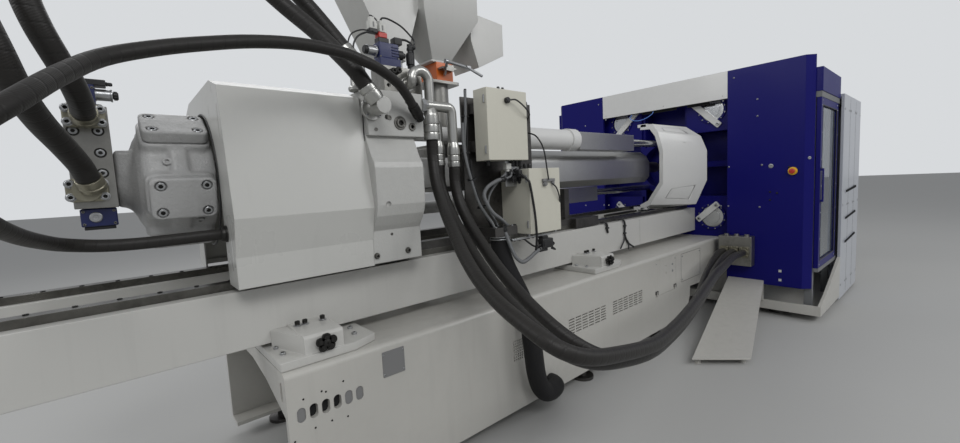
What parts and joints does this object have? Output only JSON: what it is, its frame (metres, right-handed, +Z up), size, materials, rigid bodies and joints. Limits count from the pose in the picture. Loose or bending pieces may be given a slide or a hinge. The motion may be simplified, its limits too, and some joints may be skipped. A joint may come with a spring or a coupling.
{
  "type": "injection moulding machine",
  "caption": "Horizontal injection moulding machine: sliding injection carriage with radial hydraulic motor on twin rail beams, and an enclosed two-platen clamp with tie bars.",
  "frame": {"origin": "centre of the floor rectangle under the machine", "axes": "+X from the injection end towards the clamp end, +Z up, the seen side faces -Y"},
  "size_m": [8.74, 2.9608, 2.932],
  "materials": {
    "bed_paint": "semi-gloss warm white paint",
    "beam_paint": "semi-gloss light grey paint",
    "cover_paint": "semi-gloss white paint",
    "blue_paint": "glossy deep blue paint",
    "frame_grey": "satin grey paint",
    "rail_steel": "ground steel with an oil film",
    "dark_steel": "oily dark steel",
    "bar_steel": "hard chrome",
    "cast_paint": "light grey paint over casting",
    "hood_paint": "glossy light grey paint",
    "cast_silver": "silver painted casting",
    "plain_steel": "machined steel",
    "olive_zinc": "yellow zinc plating",
    "pipe_steel": "painted steel tube",
    "guard_steel": "brushed stainless sheet",
    "barrel_steel": "heat-tinted steel",
    "band_steel": "stainless heater sheathing",
    "box_paint": "light grey powder coat",
    "orange_paint": "orange paint",
    "valve_blue": "blue painted valve bodies",
    "estop_yellow": "yellow plastic",
    "estop_red": "red plastic",
    "hose_rubber": "black rubber with a dull sheen",
    "sleeve_fabric": "woven black cable sleeve",
    "window_glass": "clear safety glazing"
  },
  "bodies": {
    "base": {"bed": "bed_paint", "support_brackets": "beam_paint", "slide_beams": "beam_paint", "rails": "rail_steel", "base_fixings": "dark_steel", "fixed_platen": "blue_paint", "tie_bars": "bar_steel", "rear_panels": "blue_paint", "clamp_frame": "frame_grey", "side_panels": "cover_paint", "clamp_base": "bed_paint", "clamp_covers": "cover_paint", "estop_housing": "estop_yellow", "connection_block": "plain_steel", "connection_flanges": "olive_zinc", "contact_rods": "bar_steel", "traverse_cylinders": "beam_paint"},
    "carriage": {"injection_housing": "cast_paint", "drive_hood": "hood_paint", "carriage_frame": "dark_steel", "barrel": "barrel_steel", "heater_bands": "band_steel", "barrel_guard": "guard_steel", "carriage_cylinders": "cover_paint", "feed_throat": "plain_steel", "gate_block": "orange_paint", "hopper": "box_paint", "upper_box": "box_paint", "lower_box": "box_paint", "pressure_pipes": "pipe_steel", "carriage_screws": "dark_steel", "top_valves": "valve_blue", "hose_upper": "hose_rubber", "hose_lower": "hose_rubber", "hose_drain": "hose_rubber", "hose_supply_a": "hose_rubber", "hose_supply_b": "hose_rubber", "hose_supply_c": "hose_rubber", "energy_sleeve": "sleeve_fabric"},
    "drive": {"motor_casing": "cast_silver", "motor_screws": "dark_steel", "port_block": "plain_steel", "split_flanges": "olive_zinc", "pilot_valve": "valve_blue", "drive_yoke": "plain_steel"},
    "screw": {"screw": "plain_steel"},
    "moving_platen": {"moving_platen": "blue_paint", "traverse_rods": "bar_steel"},
    "ejector": {"ejector": "plain_steel"},
    "gate_near": {"gate_near": "blue_paint", "window_near": "window_glass"},
    "gate_far": {"gate_far": "blue_paint", "window_far": "window_glass"},
    "nozzle_guard": {"nozzle_guard": "cover_paint"},
    "bed_door": {"bed_door": "bed_paint"},
    "estop_button": {"estop_button": "estop_red"},
    "upper_door": {"upper_door": "box_paint"},
    "lower_door": {"lower_door": "box_paint"},
    "hopper_lid": {"hopper_lid": "box_paint"},
    "slide_gate": {"slide_gate": "plain_steel"}
  },
  "joints": [
    {"name": "carriage_slide", "type": "slide", "parent": "base", "child": "carriage", "axis": [1, 0, 0], "range_m": [-0.25, 0.4], "deforming": ["hose_supply_a", "hose_supply_b", "hose_supply_c", "energy_sleeve"]},
    {"name": "dosing_slide", "type": "slide", "parent": "carriage", "child": "drive", "axis": [1, 0, 0], "range_m": [-0.28, 0], "deforming": ["hose_upper", "hose_lower"]},
    {"name": "screw_spin", "type": "hinge", "parent": "drive", "child": "screw", "pos_m": [-2.75, 0, 1.5], "axis": [1, 0, 0], "continuous": true},
    {"name": "platen_slide", "type": "slide", "parent": "base", "child": "moving_platen", "axis": [1, 0, 0], "range_m": [-0.4, 0.55]},
    {"name": "ejector_slide", "type": "slide", "parent": "moving_platen", "child": "ejector", "axis": [1, 0, 0], "range_m": [-0.15, 0]},
    {"name": "gate_near_slide", "type": "slide", "parent": "base", "child": "gate_near", "axis": [1, 0, 0], "range_m": [0, 0.72]},
    {"name": "gate_far_slide", "type": "slide", "parent": "base", "child": "gate_far", "axis": [1, 0, 0], "range_m": [0, 0.72]},
    {"name": "nozzle_guard_slide", "type": "slide", "parent": "base", "child": "nozzle_guard", "axis": [1, 0, 0], "range_m": [-0.3, 0]},
    {"name": "bed_door_hinge", "type": "hinge", "parent": "base", "child": "bed_door", "pos_m": [-0.3455, -0.6, 0.689], "axis": [-1, 0, 0], "range_deg": [0, 70]},
    {"name": "estop_press", "type": "slide", "parent": "base", "child": "estop_button", "axis": [1, 0, 0], "range_m": [0, 0.006], "stiffness_N_per_m": 400},
    {"name": "upper_door_hinge", "type": "hinge", "parent": "carriage", "child": "upper_door", "pos_m": [-2.34, -0.56, 1.747], "axis": [0, 0, -1], "range_deg": [0, 95]},
    {"name": "lower_door_hinge", "type": "hinge", "parent": "carriage", "child": "lower_door", "pos_m": [-2.065, -0.6, 1.301], "axis": [0, 0, -1], "range_deg": [0, 80]},
    {"name": "hopper_lid_hinge", "type": "hinge", "parent": "carriage", "child": "hopper_lid", "pos_m": [-2.262, 0.215, 2.88], "axis": [-1, 0, 0], "range_deg": [0, 85]},
    {"name": "slide_gate_pull", "type": "slide", "parent": "carriage", "child": "slide_gate", "axis": [0, -1, 0], "range_m": [0, 0.08]}
  ]
}
